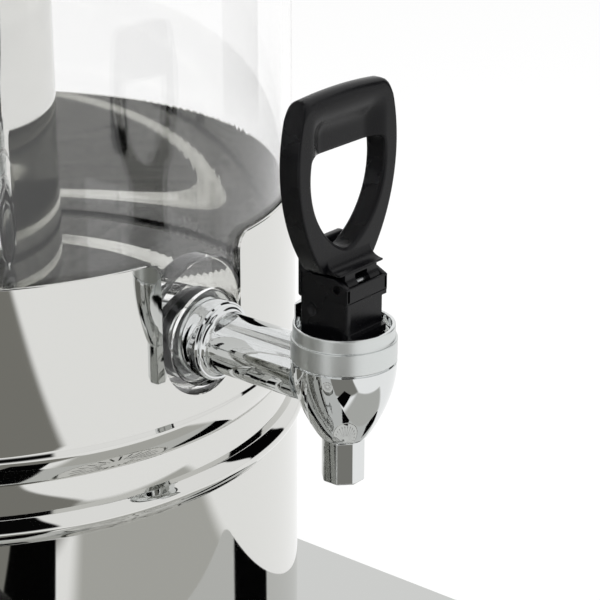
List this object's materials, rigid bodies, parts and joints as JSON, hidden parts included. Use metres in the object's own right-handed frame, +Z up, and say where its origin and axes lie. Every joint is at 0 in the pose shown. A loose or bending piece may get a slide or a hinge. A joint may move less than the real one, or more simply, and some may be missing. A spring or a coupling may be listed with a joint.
{
  "type": "double juice dispenser",
  "caption": "Juice dispenser with paired clear tanks, ice tubes and lever taps in mirror steel collars on pedestals, on a flat steel base with drip trays.",
  "frame": {"origin": "on the table, under the middle of the base", "axes": "+Z up, taps towards -Y, +X to the right of someone facing the taps"},
  "size_m": [0.568, 0.354, 0.519],
  "materials": {
    "mirror_steel": "mirror polished stainless steel",
    "base_steel": "polished stainless steel",
    "clear_plastic": "clear polycarbonate",
    "chrome": "polished chrome plate",
    "black_plastic": "satin moulded plastic",
    "plain_steel": "turned steel",
    "silicone": "translucent silicone",
    "rubber": "matt rubber"
  },
  "bodies": {
    "base": {"base_plate": "base_steel", "foot_bosses": "plain_steel", "rubber_feet": "rubber", "foot_screws": "plain_steel", "pedestal_screws": "plain_steel", "pedestal_nuts": "plain_steel", "left_pedestal": "mirror_steel", "left_collar": "mirror_steel", "left_tank_seat": "mirror_steel", "right_pedestal": "mirror_steel", "right_collar": "mirror_steel", "right_tank_seat": "mirror_steel"},
    "left_tank_unit": {"left_tank": "clear_plastic", "left_tap_body": "chrome", "left_tap_nozzle": "chrome", "left_tap_outer_washer": "silicone", "left_tap_inner_washer": "silicone", "left_tap_nut": "clear_plastic", "left_bonnet": "black_plastic", "left_hinge_pin": "plain_steel", "left_valve_spring": "plain_steel"},
    "left_lever": {"left_lever_handle": "black_plastic"},
    "left_valve": {"left_valve_stem": "plain_steel", "left_stem_pin": "plain_steel", "left_valve_plug": "silicone"},
    "left_lid_unit": {"left_lid": "mirror_steel"},
    "left_tube_unit": {"left_ice_tube": "mirror_steel"},
    "left_cap_unit": {"left_tube_cap": "mirror_steel", "left_cap_knob": "black_plastic", "left_knob_screw": "plain_steel"},
    "left_tray_unit": {"left_drip_tray": "mirror_steel"},
    "left_grate_unit": {"left_drip_grate": "mirror_steel"},
    "right_tank_unit": {"right_tank": "clear_plastic", "right_tap_body": "chrome", "right_tap_nozzle": "chrome", "right_tap_outer_washer": "silicone", "right_tap_inner_washer": "silicone", "right_tap_nut": "clear_plastic", "right_bonnet": "black_plastic", "right_hinge_pin": "plain_steel", "right_valve_spring": "plain_steel"},
    "right_lever": {"right_lever_handle": "black_plastic"},
    "right_valve": {"right_valve_stem": "plain_steel", "right_stem_pin": "plain_steel", "right_valve_plug": "silicone"},
    "right_lid_unit": {"right_lid": "mirror_steel"},
    "right_tube_unit": {"right_ice_tube": "mirror_steel"},
    "right_cap_unit": {"right_tube_cap": "mirror_steel", "right_cap_knob": "black_plastic", "right_knob_screw": "plain_steel"},
    "right_tray_unit": {"right_drip_tray": "mirror_steel"},
    "right_grate_unit": {"right_drip_grate": "mirror_steel"}
  },
  "joints": [
    {"name": "left_tank_lift", "type": "slide", "parent": "base", "child": "left_tank_unit", "axis": [0, 0, 1], "range_m": [0, 0.075]},
    {"name": "left_lever_pull", "type": "hinge", "parent": "left_tank_unit", "child": "left_lever", "pos_m": [-0.13, -0.1136, 0.22], "axis": [1, 0, 0], "range_deg": [0, 40], "stiffness_Nm_per_rad": 0.3, "springref_deg": -5.73},
    {"name": "left_valve_slide", "type": "slide", "parent": "left_tank_unit", "child": "left_valve", "axis": [0, 0, 1], "range_m": [0, 0.0036], "deforming": ["left_valve_spring"]},
    {"name": "left_lid_lift", "type": "slide", "parent": "left_tank_unit", "child": "left_lid_unit", "axis": [0, 0, 1], "range_m": [0, 0.05]},
    {"name": "left_tube_lift", "type": "slide", "parent": "left_lid_unit", "child": "left_tube_unit", "axis": [0, 0, 1], "range_m": [0, 0.31]},
    {"name": "left_cap_lift", "type": "slide", "parent": "left_tube_unit", "child": "left_cap_unit", "axis": [0, 0, 1], "range_m": [0, 0.04]},
    {"name": "left_tray_lift", "type": "slide", "parent": "base", "child": "left_tray_unit", "axis": [0, 0, 1], "range_m": [0, 0.05]},
    {"name": "left_grate_lift", "type": "slide", "parent": "left_tray_unit", "child": "left_grate_unit", "axis": [0, 0, 1], "range_m": [0, 0.03]},
    {"name": "right_tank_lift", "type": "slide", "parent": "base", "child": "right_tank_unit", "axis": [0, 0, 1], "range_m": [0, 0.075]},
    {"name": "right_lever_pull", "type": "hinge", "parent": "right_tank_unit", "child": "right_lever", "pos_m": [0.13, -0.1136, 0.22], "axis": [1, 0, 0], "range_deg": [0, 40], "stiffness_Nm_per_rad": 0.3, "springref_deg": -5.73},
    {"name": "right_valve_slide", "type": "slide", "parent": "right_tank_unit", "child": "right_valve", "axis": [0, 0, 1], "range_m": [0, 0.0036], "deforming": ["right_valve_spring"]},
    {"name": "right_lid_lift", "type": "slide", "parent": "right_tank_unit", "child": "right_lid_unit", "axis": [0, 0, 1], "range_m": [0, 0.05]},
    {"name": "right_tube_lift", "type": "slide", "parent": "right_lid_unit", "child": "right_tube_unit", "axis": [0, 0, 1], "range_m": [0, 0.31]},
    {"name": "right_cap_lift", "type": "slide", "parent": "right_tube_unit", "child": "right_cap_unit", "axis": [0, 0, 1], "range_m": [0, 0.04]},
    {"name": "right_tray_lift", "type": "slide", "parent": "base", "child": "right_tray_unit", "axis": [0, 0, 1], "range_m": [0, 0.05]},
    {"name": "right_grate_lift", "type": "slide", "parent": "right_tray_unit", "child": "right_grate_unit", "axis": [0, 0, 1], "range_m": [0, 0.03]}
  ],
  "couplings": [
    {"joint": "left_valve_slide", "follows": "left_lever_pull", "m_per_rad": 0.005085},
    {"joint": "right_valve_slide", "follows": "right_lever_pull", "m_per_rad": 0.005085}
  ]
}
